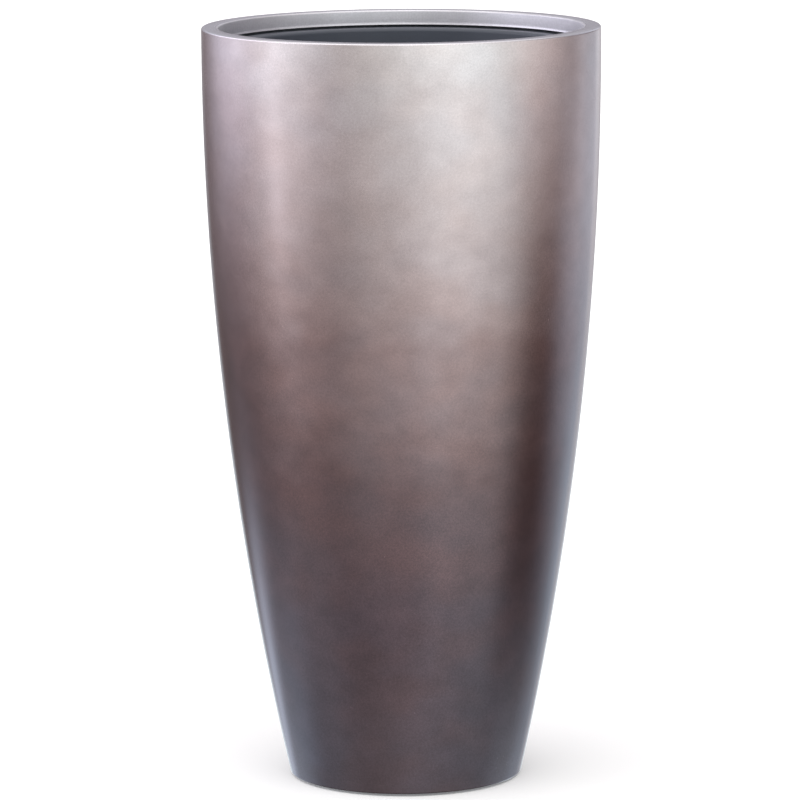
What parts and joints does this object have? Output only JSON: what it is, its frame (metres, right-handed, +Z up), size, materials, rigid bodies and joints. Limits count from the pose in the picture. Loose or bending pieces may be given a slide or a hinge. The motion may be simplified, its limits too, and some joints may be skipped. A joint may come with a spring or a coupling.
{
  "type": "floor planter with lift-out liner",
  "caption": "Tall round tapering floor planter with a flat rim, a satin metallic shell and a dark lift-out liner with folding handles.",
  "frame": {"origin": "floor level, on the planter's centre line", "axes": "+Z up the centre line, -Y towards the viewer, the liner's handles at -X and +X"},
  "size_m": [0.4719, 0.4718, 0.9],
  "materials": {
    "metallic_lacquer": "satin",
    "raw_moulding": "matte",
    "liner_plastic": "satin",
    "plug_rubber": "matte",
    "foot_rubber": "matte",
    "zinc_steel": "satin"
  },
  "bodies": {
    "shell": {"outer_shell": "metallic_lacquer", "liner_ledge_ring": "raw_moulding", "base_disc": "raw_moulding", "foot_1": "foot_rubber", "foot_2": "foot_rubber", "foot_3": "foot_rubber", "foot_4": "foot_rubber", "foot_screws": "zinc_steel"},
    "base_plug": {"base_drain_plug": "plug_rubber"},
    "liner": {"liner_tub": "liner_plastic", "handle_bracket_left": "zinc_steel", "handle_bracket_right": "zinc_steel", "bracket_rivets_left": "zinc_steel", "bracket_rivets_right": "zinc_steel"},
    "left_handle": {"lifting_handle_left": "zinc_steel"},
    "right_handle": {"lifting_handle_right": "zinc_steel"},
    "liner_plug": {"liner_drain_plug": "plug_rubber"}
  },
  "joints": [
    {"name": "liner_lift", "type": "slide", "parent": "shell", "child": "liner", "axis": [0, 0, 1], "range_m": [0, 0.38]},
    {"name": "base_plug_pull", "type": "slide", "parent": "shell", "child": "base_plug", "axis": [0, 0, 1], "range_m": [0, 0.05]},
    {"name": "liner_plug_pull", "type": "slide", "parent": "liner", "child": "liner_plug", "axis": [0, 0, 1], "range_m": [0, 0.05]},
    {"name": "left_handle_swing", "type": "hinge", "parent": "liner", "child": "left_handle", "pos_m": [-0.17743, 0, 0.8395], "axis": [0, -1, 0], "range_deg": [0, 180]},
    {"name": "right_handle_swing", "type": "hinge", "parent": "liner", "child": "right_handle", "pos_m": [0.17743, 0, 0.8395], "axis": [0, 1, 0], "range_deg": [0, 180]}
  ]
}
